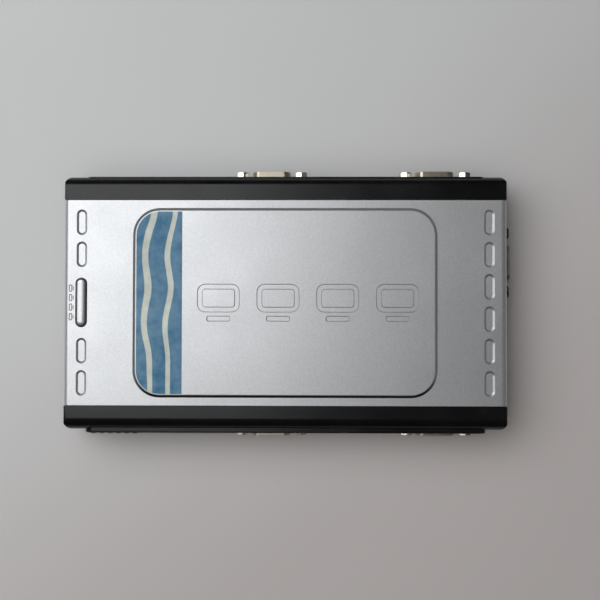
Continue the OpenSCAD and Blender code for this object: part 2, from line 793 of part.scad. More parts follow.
// Hexagonal jackscrew with a threaded hole and a stud that passes the flange
module jackscrew() {
    corner = jack_flats / 2 / cos(30);
    difference() {
        union() {
            intersection() {
                translate([0, 0, flange_front]) cylinder(r = corner, h = jack_length, $fn = 6);
                translate([0, 0, flange_front]) rotate_extrude()
                    polygon([[0, 0], [corner, 0], [corner, jack_length - jack_chamfer],
                             [corner - jack_chamfer, jack_length], [0, jack_length]]);
            }
            translate([0, 0, flange_back - lock_sheet])
                cylinder(r = jack_stud_radius, h = flange_thickness + lock_sheet);
        }
        translate([0, 0, flange_front + jack_length - jack_hole_depth])
            cylinder(r = jack_hole_radius, h = jack_hole_depth + cut);
    }
}

module vga_jackscrews() {
    corner_up = 30;
    tight_turn = 7;
    scatter = 3;
    color("#bdb59f") for (p = PORTS, s = [-1, 1])
        at_port(p) translate([s * jack_spacing / 2, 0, 0])
            rotate(corner_up + tight_turn * din_side(p) + scatter * s) jackscrew();
}

// Bent bracket behind each jackscrew that stands on the board
module vga_board_locks() {
    bottom = -port_center_height;
    color("#a9a9a6") for (p = PORTS, s = [-1, 1]) at_port(p) translate([s * jack_spacing / 2, 0, 0])
        difference() {
            union() {
                translate([-lock_width / 2, bottom, flange_back - lock_sheet])
                    cube([lock_width, port_center_height + lock_width / 2, lock_sheet]);
                translate([-lock_width / 2, bottom, flange_back - lock_depth])
                    cube([lock_width, lock_sheet, lock_depth]);
            }
            translate([0, 0, flange_back - lock_sheet - cut])
                cylinder(r = jack_stud_radius + thread_fit, h = lock_sheet + 2 * cut);
        }
}

// Housing of a round six-contact socket: a block on the board with a bored collar that shows in the wall
module din_housing(collar_front) {
    difference() {
        union() {
            translate([-din_width / 2, -port_center_height, din_front - din_depth])
                cube([din_width, din_height, din_depth]);
            translate([0, 0, din_front - cut])
                cylinder(r = din_collar_radius, h = collar_front - din_front + cut);
        }
        translate([0, 0, collar_front - din_bore_depth])
            cylinder(r = din_bore_radius, h = din_bore_depth + cut);
    }
}

// Core of a round socket: it stands on the bottom of the bore, with six contact holes and a key slot
module din_core(collar_front) {
    cut_depth = din_bore_depth + 2 * cut;
    translate([0, 0, collar_front - din_bore_depth]) difference() {
        cylinder(r = din_core_radius, h = din_bore_depth);
        for (turn = [30 : 60 : 330])
            rotate(turn) translate([din_pin_circle, 0, -cut]) cylinder(r = din_pin_radius, h = cut_depth);
        translate([-din_key_width / 2, -din_key_height / 2, -cut])
            cube([din_key_width, din_key_height, cut_depth]);
    }
}

function din_collar_front(port) =
    port[1] == "end" ? -console_setback
    : (port[1] == "front" ? bezel_rise : rear_bezel_rise) - din_setback;

module round_socket(port, offset) {
    at_port(port) translate([din_side(port) * offset, 0, 0]) din_housing(din_collar_front(port));
}

module round_core(port, offset) {
    at_port(port) translate([din_side(port) * offset, 0, 0]) din_core(din_collar_front(port));
}

// Flat chip body with a row of legs along two sides
module small_outline_chip(length, legs) {
    width = 3.9;
    height = 1.6;
    leg_width = 0.4;
    leg_reach = 1;
    leg_lift = 0.15;
    translate([-length / 2, -width / 2, board_top + leg_lift]) cube([length, width, height]);
    for (i = [0 : legs - 1])
        translate([(i - (legs - 1) / 2) * leg_pitch - leg_width / 2, -width / 2 - leg_reach, board_top])
            cube([leg_width, width + 2 * leg_reach, leg_lift]);
}

// Square controller with eleven legs along each of its four sides
module controller_chip() {
    side = 16.6;
    lift = 0.6;
    height = 3.6;
    legs = 11;
    leg_width = 0.5;
    leg_reach = 0.45;
    leg_height = 2.2;
    foot_depth = 1.2;
    span = side + 2 * leg_reach;
    color("#2b2b2d") translate([0, 0, board_top]) {
        translate([-side / 2, -side / 2, lift]) cube([side, side, height]);
        for (turn = [0, 90], i = [0 : legs - 1])
            rotate(turn) translate([(i - (legs - 1) / 2) * leg_pitch - leg_width / 2, -span / 2, 0])
                difference() {
                    cube([leg_width, span, leg_height]);
                    translate([-cut, foot_depth, -cut])
                        cube([leg_width + 2 * cut, span - 2 * foot_depth, lift + cut]);
                }
    }
}

module video_switch_chips() {
    color("#29292b") for (x = [-30, 30], y = [-30, 30]) translate([x, y, 0]) small_outline_chip(10, 8);
}

module logic_chips() {
    color("#29292b") for (x = [-56, 18], y = [-12, 12]) translate([x, y, 0]) small_outline_chip(8.7, 7);
}

// Upright capacitor cans with a crimped groove near the foot
module capacitors() {
    radius = 3.15;
    height = 11;
    crimp_level = 1.6;
    crimp = 0.4;
    color("#39404d") for (x = [-60, 52], y = [-27, 27]) translate([x, y, board_top]) rotate_extrude()
        polygon([[0, 0], [radius, 0], [radius, crimp_level - crimp], [radius - crimp, crimp_level],
                 [radius, crimp_level + crimp], [radius, height - crimp], [radius - crimp, height],
                 [0, height]]);
}

module crystal() {
    length = 11.4;
    width = 4.7;
    height = 3.5;
    color("#c0c2c4") translate([0, 16, board_top]) rotate(90)
        linear_extrude(height) slot_outline(length, width);
}

module buzzer() {
    radius = 6;
    height = 9;
    hole_radius = 1.2;
    color("#1d1d1f") translate([-46, 0, board_top]) difference() {
        cylinder(r = radius, h = height);
        translate([0, 0, height - cut]) cylinder(r = hole_radius, h = 2 * cut);
    }
}

// Flat power package with a soldered tab and two legs
module regulator() {
    body = [6.6, 6.2, 2.3];
    tab = [5.4, 3.4, 0.6];
    leg = [0.8, 2.9, 0.6];
    leg_spread = 2.3;
    color("#2b2b2d") translate([38, 0, board_top]) {
        translate([-body[0] / 2, -body[1] / 2, 0]) cube(body);
        translate([-tab[0] / 2, body[1] / 2, 0]) cube(tab);
        for (x = [-leg_spread, leg_spread])
            translate([x - leg[0] / 2, -body[1] / 2 - leg[1], 0]) cube(leg);
    }
}

// Lamps on the board behind the lenses of the left end wall
module indicator_leds() {
    body = 2 * lens_radius + 1;
    nose = 0.6;
    setback = 1;
    color("#5fae5a") for (y = lens_places) translate([setback - inner_half_length, y, board_top]) {
        translate([0, -body / 2, 0]) cube([body, body, lens_level - board_top + body / 2]);
        translate([-nose, 0, lens_level - board_top]) rotate([0, 90, 0]) cylinder(r = lens_radius, h = nose);
    }
}

module indicator_lenses() {
    length = wall + fit;
    color("#a9d8a0") for (y = lens_places) translate([-half_length, y, lens_level]) rotate([0, 90, 0])
        rotate_extrude() polygon([[0, -lens_stand], [lens_radius - lens_stand, -lens_stand],
                                  [lens_radius, 0], [lens_radius, length], [0, length]]);
}

// Screw with a pan head, head down, its seat at z = 0
module pan_screw(length) {
    slot_width = 0.8;
    slot_length = 3.2;
    difference() {
        union() {
            translate([0, 0, -screw_head_height]) cylinder(r = screw_head_radius, h = screw_head_height);
            cylinder(r = screw_radius, h = length);
        }
        for (turn = [0, 90])
            rotate(turn) translate([-slot_length / 2, -slot_width / 2, -screw_head_height - cut])
                cube([slot_length, slot_width, slot_width + cut]);
    }
}

module case_screws() {
    seat = floor_bottom + screw_head_height + head_gap;
    color("#8d8f92") for (place = screw_places)
        translate([place[0], place[1], seat]) pan_screw(board_top + screw_reach - seat);
}

module board_screws() {
    color("#8d8f92") for (place = board_screw_places)
        translate([place[0], place[1], board_top]) mirror([0, 0, 1])
            pan_screw(board_thickness + board_screw_reach);
}

module rubber_feet() {
    soften = 0.6;
    top = floor_bottom + foot_recess;
    color("#26272a") for (place = foot_places) translate([place[0], place[1], 0]) rotate_extrude()
        polygon([[0, 0], [foot_radius - soften, 0], [foot_radius, soften], [foot_radius, top], [0, top]]);
}

// Children moved so that the whole object stands about the frame's middle
module in_frame() {
    translate([frame_shift, 0, 0]) children();
}

in_frame() bottom_case();
in_frame() top_cover();
in_frame() front_rail();
in_frame() rear_rail();
in_frame() label();
in_frame() port_button();
in_frame() switch_base();
in_frame() switch_frame();
in_frame() switch_plunger();
in_frame() main_board();
for (p = PORTS) {
    in_frame() at_port(p) vga_shell();
    in_frame() at_port(p) vga_insulator();
    in_frame() color("#6b4a8c") round_socket(p, keyboard_offset);
    in_frame() color("#6b4a8c") round_core(p, keyboard_offset);
    in_frame() color("#3f8f5a") round_socket(p, mouse_offset);
    in_frame() color("#3f8f5a") round_core(p, mouse_offset);
}
in_frame() vga_jackscrews();
in_frame() vga_board_locks();
in_frame() controller_chip();
in_frame() video_switch_chips();
in_frame() logic_chips();
in_frame() capacitors();
in_frame() crystal();
in_frame() buzzer();
in_frame() regulator();
in_frame() indicator_leds();
in_frame() indicator_lenses();
in_frame() case_screws();
in_frame() board_screws();
in_frame() rubber_feet();
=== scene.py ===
"""Looks of a four-port KVM switch, built up in the order in which the box is put together."""
import math

import bpy
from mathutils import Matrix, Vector


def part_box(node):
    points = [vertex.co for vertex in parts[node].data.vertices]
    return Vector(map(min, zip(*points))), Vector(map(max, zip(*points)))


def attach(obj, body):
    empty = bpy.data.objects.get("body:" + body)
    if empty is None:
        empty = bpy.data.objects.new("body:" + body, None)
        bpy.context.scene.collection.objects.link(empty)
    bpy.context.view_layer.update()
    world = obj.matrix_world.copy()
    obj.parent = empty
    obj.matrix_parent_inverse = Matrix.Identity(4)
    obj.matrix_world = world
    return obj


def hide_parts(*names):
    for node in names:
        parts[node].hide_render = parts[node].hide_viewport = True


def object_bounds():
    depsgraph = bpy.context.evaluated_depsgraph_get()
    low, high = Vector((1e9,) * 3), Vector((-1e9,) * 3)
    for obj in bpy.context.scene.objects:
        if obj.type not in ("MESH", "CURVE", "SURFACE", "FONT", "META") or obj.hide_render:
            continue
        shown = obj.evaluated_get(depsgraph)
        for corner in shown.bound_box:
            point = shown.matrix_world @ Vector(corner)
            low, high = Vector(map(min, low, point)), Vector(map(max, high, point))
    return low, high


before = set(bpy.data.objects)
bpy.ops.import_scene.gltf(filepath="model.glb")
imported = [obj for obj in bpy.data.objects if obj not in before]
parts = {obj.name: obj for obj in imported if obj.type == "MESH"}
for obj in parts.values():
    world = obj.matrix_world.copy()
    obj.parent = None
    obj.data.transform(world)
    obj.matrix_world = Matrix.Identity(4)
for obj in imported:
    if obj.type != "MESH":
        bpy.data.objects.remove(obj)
cad_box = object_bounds()
bpy.ops.object.select_all(action="DESELECT")


# Bottom case
# The floor pan with its two low end walls, injection moulded in black ABS with a fine spark-eroded grain.
# The rails hook into its long edges, and four screws from below pull the cover down on it.
MM = 0.001
MOTTLE_LOW, MOTTLE_HIGH = 0.3, 0.7


def put(tree, kind, inputs=None, **settings):
    """A shader node with its settings, and its unlinked inputs by name."""
    node = tree.nodes.new("ShaderNode" + kind)
    for name, value in settings.items():
        setattr(node, name, value)
    for name, value in (inputs or {}).items():
        node.inputs[name].default_value = value
    return node


def ramp(tree, *stops):
    """A colour ramp between two stops, each a place and a grey or a colour."""
    node = put(tree, "ValToRGB")
    for mark, (place, shade) in zip(node.color_ramp.elements, stops):
        mark.position = place
        mark.color = (*shade, 1) if isinstance(shade, tuple) else (shade, shade, shade, 1)
    return node


def finish(name, colour, roughness, metallic=0.0):
    """A new material and its shader, with one colour, roughness and metallic value all over."""
    made = bpy.data.materials.new(name)
    made.use_nodes = True
    shader = made.node_tree.nodes["Principled BSDF"]
    shader.inputs["Base Color"].default_value = (*colour, 1)
    shader.inputs["Roughness"].default_value = roughness
    shader.inputs["Metallic"].default_value = metallic
    return made, shader


def surface_grain():
    """Node group: the height of a fine grain, and a slow mottle over the whole piece."""
    group = bpy.data.node_groups.new("surface_grain", "ShaderNodeTree")
    for name in ("Grain mm", "Mottle mm"):
        group.interface.new_socket(name=name, in_out="INPUT", socket_type="NodeSocketFloat")
    for name in ("Height", "Mottle"):
        group.interface.new_socket(name=name, in_out="OUTPUT", socket_type="NodeSocketFloat")
    entry, leave = put(group, "TexCoord"), group.nodes.new("NodeGroupOutput")
    sizes = group.nodes.new("NodeGroupInput")
    for size, detail, result in (("Grain mm", 2.0, "Height"), ("Mottle mm", 4.0, "Mottle")):
        per_metre = put(group, "Math", operation="DIVIDE")
        per_metre.inputs[0].default_value = 1 / MM
        noise = put(group, "TexNoise", {"Detail": detail, "Roughness": 0.6})
        group.links.new(sizes.outputs[size], per_metre.inputs[1])
        group.links.new(per_metre.outputs[0], noise.inputs["Scale"])
        group.links.new(entry.outputs["Object"], noise.inputs["Vector"])
        group.links.new(noise.outputs["Fac"], leave.inputs[result])
    return group


GRAIN = surface_grain()


def grained(made, shader, grain, depth, mottle, gloss):
    """Grain as bump, of that size and depth in mm, and a mottle that swings the roughness by gloss."""
    tree = made.node_tree
    noise = tree.nodes.new("ShaderNodeGroup")
    noise.node_tree = GRAIN
    noise.inputs["Grain mm"].default_value = grain
    noise.inputs["Mottle mm"].default_value = mottle
    bump = put(tree, "Bump", {"Distance": depth * MM})
    middle = shader.inputs["Roughness"].default_value
    swing = put(tree, "MapRange", {"From Min": MOTTLE_LOW, "From Max": MOTTLE_HIGH})
    swing.inputs["To Min"].default_value = middle - gloss
    swing.inputs["To Max"].default_value = middle + gloss
    tree.links.new(noise.outputs["Height"], bump.inputs["Height"])
    tree.links.new(bump.outputs["Normal"], shader.inputs["Normal"])
    tree.links.new(noise.outputs["Mottle"], swing.inputs["Value"])
    tree.links.new(swing.outputs["Result"], shader.inputs["Roughness"])
    return noise


def tint(made, shader, noise, low, high):
    """Let the mottle swing the base colour between two shades."""
    shades = ramp(made.node_tree, (MOTTLE_LOW, low), (MOTTLE_HIGH, high))
    made.node_tree.links.new(noise.outputs["Mottle"], shades.inputs["Fac"])
    made.node_tree.links.new(shades.outputs["Color"], shader.inputs["Base Color"])


def black_plastic():
    """Satin black, with the grain of the mould."""
    made, shader = finish("black_plastic", (0.004, 0.004, 0.0044), roughness=0.25)
    shader.inputs["Specular IOR Level"].default_value = 0.45
    noise = grained(made, shader, grain=0.35, depth=0.008, mottle=14, gloss=0.03)
    tint(made, shader, noise, (0.003, 0.003, 0.0034), (0.005, 0.005, 0.0055))
    return made


def chosen(piece):
    """Make one piece the only selected and active one."""
    bpy.ops.object.select_all(action="DESELECT")
    piece.select_set(True)
    bpy.context.view_layer.objects.active = piece


def merged(piece):
    """Join loose triangles into whole flat faces."""
    chosen(piece)
    bpy.ops.mesh.customdata_custom_splitnormals_clear()
    bpy.ops.object.mode_set(mode="EDIT")
    bpy.ops.mesh.select_all(action="SELECT")
    bpy.ops.mesh.remove_doubles(threshold=0.002 * MM)
    bpy.ops.mesh.dissolve_limited(angle_limit=math.radians(0.5))
    bpy.ops.object.mode_set(mode="OBJECT")


def even_shading(piece, crease):
    """Smooth rounds, creases above that angle and level flats: normals follow the larger faces."""
    chosen(piece)
    bpy.ops.mesh.customdata_custom_splitnormals_clear()
    bpy.ops.object.shade_smooth_by_angle(angle=math.radians(crease))
    level = piece.modifiers.new("level", "WEIGHTED_NORMAL")
    level.keep_sharp = True
    level.weight = 100
    bpy.ops.object.modifier_apply(modifier=level.name)


def wear_material(piece, made):
    """Give a new piece one material all over."""
    piece.data.materials.clear()
    piece.data.materials.append(made)


def stand_in(node, made, body="case"):
    """A copy of a CAD piece with its faces merged, in its place."""
    piece = bpy.data.objects.new(node + "_piece", parts[node].data.copy())
    bpy.context.scene.collection.objects.link(piece)
    merged(piece)
    wear_material(piece, made)
    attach(piece, body)
    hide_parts(node)
    return piece


def softened(node, made, radius, body="case"):
    """A stand-in with a small radius, in mm, on its sharp edges."""
    piece = stand_in(node, made, body)
    edge = piece.modifiers.new("edge", "BEVEL")
    edge.width = radius * MM
    edge.segments = 2
    edge.angle_limit = math.radians(32)
    edge.loop_slide = False
    bpy.ops.object.modifier_apply(modifier=edge.name)
    even_shading(piece, crease=40)
    return piece


BLACK = black_plastic()
softened("bottom_case", BLACK, radius=0.2)


# Rubber feet
# Four round feet of dark grey rubber, compression moulded with a soft edge.
# Each is stuck into a shallow seat in the floor.
def foot_rubber():
    """Dull dark rubber, worn a little paler in places."""
    made, shader = finish("foot_rubber", (0.03, 0.03, 0.032), roughness=0.75)
    noise = grained(made, shader, grain=0.25, depth=0.01, mottle=5, gloss=0.08)
    tint(made, shader, noise, (0.022, 0.022, 0.024), (0.045, 0.045, 0.047))
    return made


softened("rubber_feet", foot_rubber(), radius=0.3)


# Main board and its components
# A glass-fibre board under green solder mask, with black moulded chips, sleeved capacitors and a buzzer.
# Everything is soldered to it before four screws hold it on the floor's standoffs.
def circuit_board():
    """Green solder mask over the weave of the laminate."""
    made, shader = finish("circuit_board", (0.03, 0.20, 0.08), roughness=0.38)
    noise = grained(made, shader, grain=0.6, depth=0.01, mottle=9, gloss=0.06)
    tint(made, shader, noise, (0.02, 0.15, 0.06), (0.04, 0.24, 0.10))
    return made


def chip_plastic():
    """Matt black moulding compound."""
    made, shader = finish("chip_plastic", (0.035, 0.035, 0.037), roughness=0.5)
    noise = grained(made, shader, grain=0.15, depth=0.005, mottle=4, gloss=0.06)
    tint(made, shader, noise, (0.028, 0.028, 0.030), (0.045, 0.045, 0.047))
    return made


def capacitor_sleeve():
    """Dark blue shrunk-on film."""
    made, shader = finish("capacitor_sleeve", (0.05, 0.06, 0.10), roughness=0.3)
    noise = grained(made, shader, grain=0.5, depth=0.004, mottle=5, gloss=0.05)
    tint(made, shader, noise, (0.04, 0.05, 0.09), (0.07, 0.08, 0.12))
    return made


def plated_steel():
    """Tin plating on sheet steel, a little dulled and yellowed."""
    made, shader = finish("plated_steel", (0.56, 0.50, 0.40), roughness=0.34, metallic=1.0)
    noise = grained(made, shader, grain=0.5, depth=0.003, mottle=6, gloss=0.06)
    tint(made, shader, noise, (0.48, 0.42, 0.32), (0.64, 0.59, 0.49))
    return made


def dressed(node, made):
    """Keep a CAD piece's shape and give it a finish."""
    parts[node].material_slots[0].material = made


PLATED = plated_steel()
CHIP = chip_plastic()
dressed("main_board", circuit_board())
for name in ("controller_chip", "video_switch_chips", "logic_chips", "regulator", "buzzer", "switch_base",
             "switch_plunger"):
    dressed(name, CHIP)
dressed("capacitors", capacitor_sleeve())
for name in ("crystal", "switch_frame", "vga_board_locks"):
    dressed(name, PLATED)


# Screws
# Four under the case and four on the board, of zinc-plated steel, cold headed with a cross recess.
# They are driven into the bosses and standoffs that are moulded on the cover and the floor.
def zinc_steel():
    """Bright zinc plating with a faint bloom."""
    made, shader = finish("zinc_steel", (0.60, 0.61, 0.62), roughness=0.32, metallic=1.0)
    noise = grained(made, shader, grain=0.3, depth=0.005, mottle=3, gloss=0.08)
    tint(made, shader, noise, (0.50, 0.51, 0.52), (0.68, 0.69, 0.70))
    return made


ZINC = zinc_steel()
softened("case_screws", ZINC, radius=0.08)
dressed("board_screws", ZINC)


# Video sockets
# A stamped and tin-plated shell with its flange round a blue moulded insulator, held by two turned,
# nickel-plated hexagonal jackscrews that also take the plug's screws.
PORTS = ("pc1", "pc2", "pc3", "pc4", "console")


def nickel_brass():
    """Polished nickel with a warm tone from the brass."""
    made, shader = finish("nickel_brass", (0.84, 0.78, 0.66), roughness=0.16, metallic=1.0)
    noise = grained(made, shader, grain=0.4, depth=0.003, mottle=3, gloss=0.05)
    tint(made, shader, noise, (0.74, 0.66, 0.50), (0.90, 0.87, 0.78))
    return made


def socket_plastic(name, colour, shade):
    """Coloured moulded plastic that swings towards a darker shade."""
    made, shader = finish(name, colour, roughness=0.4)
    noise = grained(made, shader, grain=0.2, depth=0.005, mottle=5, gloss=0.05)
    tint(made, shader, noise, shade, colour)
    return made


blue = socket_plastic("blue_plastic", (0.03, 0.07, 0.36), (0.02, 0.05, 0.28))
for port in PORTS:
    softened(f"vga_shell_{port}", PLATED, radius=0.15)
    softened(f"vga_insulator_{port}", blue, radius=0.08)
softened("vga_jackscrews", nickel_brass(), radius=0.1)


# Video contacts
# Fifteen turned and gold-plated tubes in three rows of five, pressed into each insulator from behind.
# Their mouths lie just inside its holes.
OUTWARD = {"pc1": 0, "pc2": 0, "pc3": 180, "pc4": 180, "console": 90}


def gold_plate():
    """Thin gold over nickel."""
    made, shader = finish("gold_plate", (0.72, 0.50, 0.17), roughness=0.25, metallic=1.0)
    noise = grained(made, shader, grain=0.2, depth=0.002, mottle=2, gloss=0.06)
    tint(made, shader, noise, (0.60, 0.40, 0.12), (0.80, 0.58, 0.24))
    return made


def tube(radius, bore, length, sides, edge):
    """A tube along Z with rounded rims and its mouth at the origin, with its sizes in mm."""
    bpy.ops.object.select_all(action="DESELECT")
    bpy.ops.mesh.primitive_circle_add(vertices=sides, radius=radius * MM, fill_type="NGON")
    piece = bpy.context.active_object
    bpy.ops.object.mode_set(mode="EDIT")
    bpy.ops.mesh.select_all(action="SELECT")
    bpy.ops.mesh.inset(thickness=(radius - bore) * MM)
    bpy.ops.mesh.delete(type="FACE")
    bpy.ops.mesh.select_all(action="SELECT")
    bpy.ops.mesh.extrude_region_move(TRANSFORM_OT_translate={"value": (0, 0, -length * MM)})
    bpy.ops.mesh.select_all(action="SELECT")
    bpy.ops.mesh.normals_make_consistent(inside=False)
    bpy.ops.object.mode_set(mode="OBJECT")
    rim = piece.modifiers.new("rim", "BEVEL")
    rim.width = edge * MM
    rim.segments = 2
    rim.angle_limit = math.radians(60)
    bpy.ops.object.modifier_apply(modifier=rim.name)
    bpy.ops.object.shade_smooth_by_angle(angle=math.radians(40))
    return piece


def joined(pieces):
    """Join pieces into the first of them."""
    chosen(pieces[0])
    for piece in pieces:
        piece.select_set(True)
    bpy.ops.object.join()
    return pieces[0]


def cluster(piece, places):
    """One piece made of copies of another at those places in mm across the view."""
    copies = []
    for x, y in places:
        copy = bpy.data.objects.new(piece.name, piece.data.copy())
        copy.location = (x * MM, y * MM, 0)
        bpy.context.scene.collection.objects.link(copy)
        copies.append(copy)
    bpy.data.objects.remove(piece)
    whole = joined(copies)
    bpy.ops.object.transform_apply(location=True, rotation=True, scale=True)
    return whole


def set_in(piece, name, port, middle_of, face_of, made, sunk):
    """A copy of a piece along Z, turned to look out of a port, that many mm behind the face of a node."""
    copy = bpy.data.objects.new(name, piece.data.copy())
    bpy.context.scene.collection.objects.link(copy)
    turn = math.radians(OUTWARD[port])
    outward = Vector((math.sin(turn), -math.cos(turn), 0))
    place = sum(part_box(middle_of), Vector()) / 2
    face = max(corner.dot(outward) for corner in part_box(face_of))
    copy.location = place + outward * (face - sunk * MM - place.dot(outward))
    copy.rotation_euler = (math.radians(90), 0, turn)
    chosen(copy)
    bpy.ops.object.transform_apply(location=True, rotation=True, scale=True)
    wear_material(copy, made)
    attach(copy, "case")


GOLD = gold_plate()
contact_pitch, row_pitch, row_shift = 2.29, 1.98, 0.25
contact_places = [((column + row * row_shift) * contact_pitch, row * row_pitch)
                  for row in (-1, 0, 1) for column in (-2, -1, 0, 1, 2)]
contacts = cluster(tube(radius=0.52, bore=0.36, length=3.0, sides=16, edge=0.04), contact_places)
for port in PORTS:
    shell, insulator = f"vga_shell_{port}", f"vga_insulator_{port}"
    set_in(contacts, f"vga_contacts_{port}", port, shell, insulator, GOLD, sunk=0.3)
bpy.data.objects.remove(contacts)


# Keyboard and mouse sockets
# Round six-pin sockets moulded in purple for the keyboard and green for the mouse, soldered to the board
# behind round windows. Each has a rolled steel shield in its bore and six gold-plated contacts in its core.
purple = socket_plastic("purple_plastic", (0.20, 0.09, 0.38), (0.15, 0.06, 0.30))
green = socket_plastic("green_plastic", (0.07, 0.38, 0.18), (0.05, 0.30, 0.14))
pin_circle, pin_step = 2.75, math.radians(60)
pin_angles = [(count + 0.5) * pin_step for count in range(6)]
pin_places = [(pin_circle * math.cos(angle), pin_circle * math.sin(angle)) for angle in pin_angles]
pins = cluster(tube(radius=0.47, bore=0.32, length=4.0, sides=16, edge=0.04), pin_places)
shield = tube(radius=4.83, bore=4.6, length=7.0, sides=64, edge=0.06)
for port in PORTS:
    for kind, made, slot in (("keyboard", purple, "purple_plastic"), ("mouse", green, "green_plastic")):
        core = f"{kind}_core_{port}"
        softened(f"{kind}_socket_{port}", made, radius=0.12)
        softened(core, made, radius=0.1)
        set_in(pins, f"{kind}_contacts_{port}", port, core, core, GOLD, sunk=0.3)
        set_in(shield, f"{kind}_shield_{port}", port, core, core, PLATED, sunk=0.5)
bpy.data.objects.remove(pins)
bpy.data.objects.remove(shield)


# Indicator lamps
# Four small lamps on the board, moulded in pale green tinted resin.
# In front of them, lenses of the same clear plastic are pressed into the left end wall.
def lamp_plastic():
    """Glossy pale green plastic."""
    made, shader = finish("lamp_plastic", (0.42, 0.70, 0.40), roughness=0.22)
    noise = grained(made, shader, grain=0.5, depth=0.003, mottle=4, gloss=0.04)
    tint(made, shader, noise, (0.36, 0.62, 0.34), (0.50, 0.76, 0.46))
    return made


LAMP = lamp_plastic()
dressed("indicator_leds", LAMP)
softened("indicator_lenses", LAMP, radius=0.12)


# Side rails
# Black ABS mouldings along both long sides, each with a raised bezel round its ports.
# They carry the same fine grain as the floor and lap under the edge of the cover.
for name in ("front_rail", "rear_rail"):
    softened(name, BLACK, radius=0.2)


# Top cover
# The lid between the rails: moulded in ABS and sprayed with satin metallic silver paint.
# Its raised panel, groove, dimples and row of four screens come from the mould; the groove is painted darker
# as painted shade, darkest along the front.
label_low, label_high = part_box("label")
cover_low, cover_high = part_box("top_cover")
panel_top = label_low.z
panel_right = cover_low.x + cover_high.x - label_low.x
screens_x = (label_high.x + panel_right) / 2
screen_pitch, screen_width, screen_height, screen_corner = 25 * MM, 18 * MM, 12 * MM, 3.4 * MM
stroke, foot_width, foot_gap, foot_corner = 2.4 * MM, 10 * MM, 1.4 * MM, 0.8 * MM
ROW_OF_FOUR = (-1.5, -0.5, 0.5, 1.5)


def silver_paint():
    """Metallic paint with fine flakes."""
    made, shader = finish("silver_paint", (0.70, 0.705, 0.715), roughness=0.385, metallic=0.85)
    grained(made, shader, grain=0.7, depth=0.006, mottle=25, gloss=0.03)
    tree = made.node_tree
    entry = put(tree, "TexCoord")
    flake = put(tree, "TexVoronoi", {"Scale": 2600.0})
    shades = ramp(tree, (0.0, (0.64, 0.645, 0.655)), (1.0, (0.76, 0.765, 0.775)))
    tree.links.new(entry.outputs["Object"], flake.inputs["Vector"])
    tree.links.new(flake.outputs["Color"], shades.inputs["Fac"])
    tree.links.new(shades.outputs["Color"], shader.inputs["Base Color"])
    return made


def shaded_paint(name, shade):
    """The same paint darkened as painted shade for a groove or a steep edge, darkest along the front."""
    deepest_shade, deepest_shade_y, shade_fade_y = 0.05, -38.5 * MM, -31 * MM
    made, shader = finish(name, (shade, shade, shade), roughness=0.45, metallic=0.7)
    grained(made, shader, grain=0.7, depth=0.006, mottle=8, gloss=0.05)
    tree = made.node_tree
    entry = put(tree, "TexCoord")
    place = put(tree, "SeparateXYZ")
    # painted shade: the tone falls from shade to deepest_shade towards the front of the groove
    shade_fade = put(tree, "MapRange", {"From Min": deepest_shade_y, "From Max": shade_fade_y})
    shades = ramp(tree, (0.0, deepest_shade), (1.0, shade))
    tree.links.new(entry.outputs["Object"], place.inputs["Vector"])
    tree.links.new(place.outputs["Y"], shade_fade.inputs["Value"])
    tree.links.new(shade_fade.outputs["Result"], shades.inputs["Fac"])
    tree.links.new(shades.outputs["Color"], shader.inputs["Base Color"])
    return made


def flat_outline(place, width, height, corner, stroke=0.0):
    """A flat rounded plate, or a ring of that stroke, left in edit mode with all of it selected."""
    bpy.ops.object.select_all(action="DESELECT")
    bpy.ops.mesh.primitive_plane_add(size=1, location=place)
    piece = bpy.context.active_object
    piece.scale = (width, height, 1)
    bpy.ops.object.transform_apply(location=True, rotation=True, scale=True)
    bpy.ops.object.mode_set(mode="EDIT")
    bpy.ops.mesh.select_all(action="SELECT")
    bpy.ops.mesh.bevel(offset=corner, segments=5, affect="VERTICES")
    bpy.ops.mesh.select_all(action="SELECT")
    if stroke:
        bpy.ops.mesh.inset(thickness=stroke)
        bpy.ops.mesh.delete(type="FACE")
        bpy.ops.mesh.select_all(action="SELECT")
    return piece


def sunk_outline(x, y, *shape):
    """A cutter with sloping walls for an outline that is sunk into the panel."""
    clear, depth, slope = 0.2 * MM, 0.35 * MM, 0.35 * MM
    cutter = flat_outline((x, y, panel_top + clear), *shape)
    bpy.ops.mesh.extrude_region_move(TRANSFORM_OT_translate={"value": (0, 0, -clear)})
    bpy.ops.mesh.inset(thickness=slope)
    bpy.ops.transform.translate(value=(0, 0, -depth))
    bpy.ops.mesh.select_all(action="SELECT")
    bpy.ops.mesh.normals_make_consistent(inside=False)
    bpy.ops.object.mode_set(mode="OBJECT")
    return cutter


SILVER = silver_paint()
cover = stand_in("top_cover", SILVER)
cutters = []
for count in ROW_OF_FOUR:
    x = screens_x + count * screen_pitch
    y = (stroke + foot_gap) / 2
    cutters.append(sunk_outline(x, y, screen_width, screen_height, screen_corner, stroke))
    y -= screen_height / 2 + foot_gap + stroke / 2
    cutters.append(sunk_outline(x, y, foot_width, stroke, foot_corner))
screens = joined(cutters)
chosen(cover)
sink = cover.modifiers.new("sink", "BOOLEAN")
sink.object = screens
sink.solver = "MANIFOLD"
bpy.ops.object.modifier_apply(modifier=sink.name)
bpy.data.objects.remove(screens)
merged(cover)
even_shading(cover, crease=30)
wear_material(cover, SILVER)
# The groove's faces take a darker paint: painted shade in the groove, darkest along the front.
cover.data.materials.append(shaded_paint("groove_painted_shade", shade=0.5))
groove_low, groove_high = panel_top - 1.3 * MM, panel_top - 0.42 * MM
groove_left, groove_right = label_low.x - 2 * MM, panel_right + 2 * MM
wall_slope = 0.1
for face in cover.data.polygons:
    x, _, z = face.center
    sunk = groove_low < z < groove_high and face.normal.z > wall_slope
    face.material_index = int(sunk and groove_left < x < groove_right)


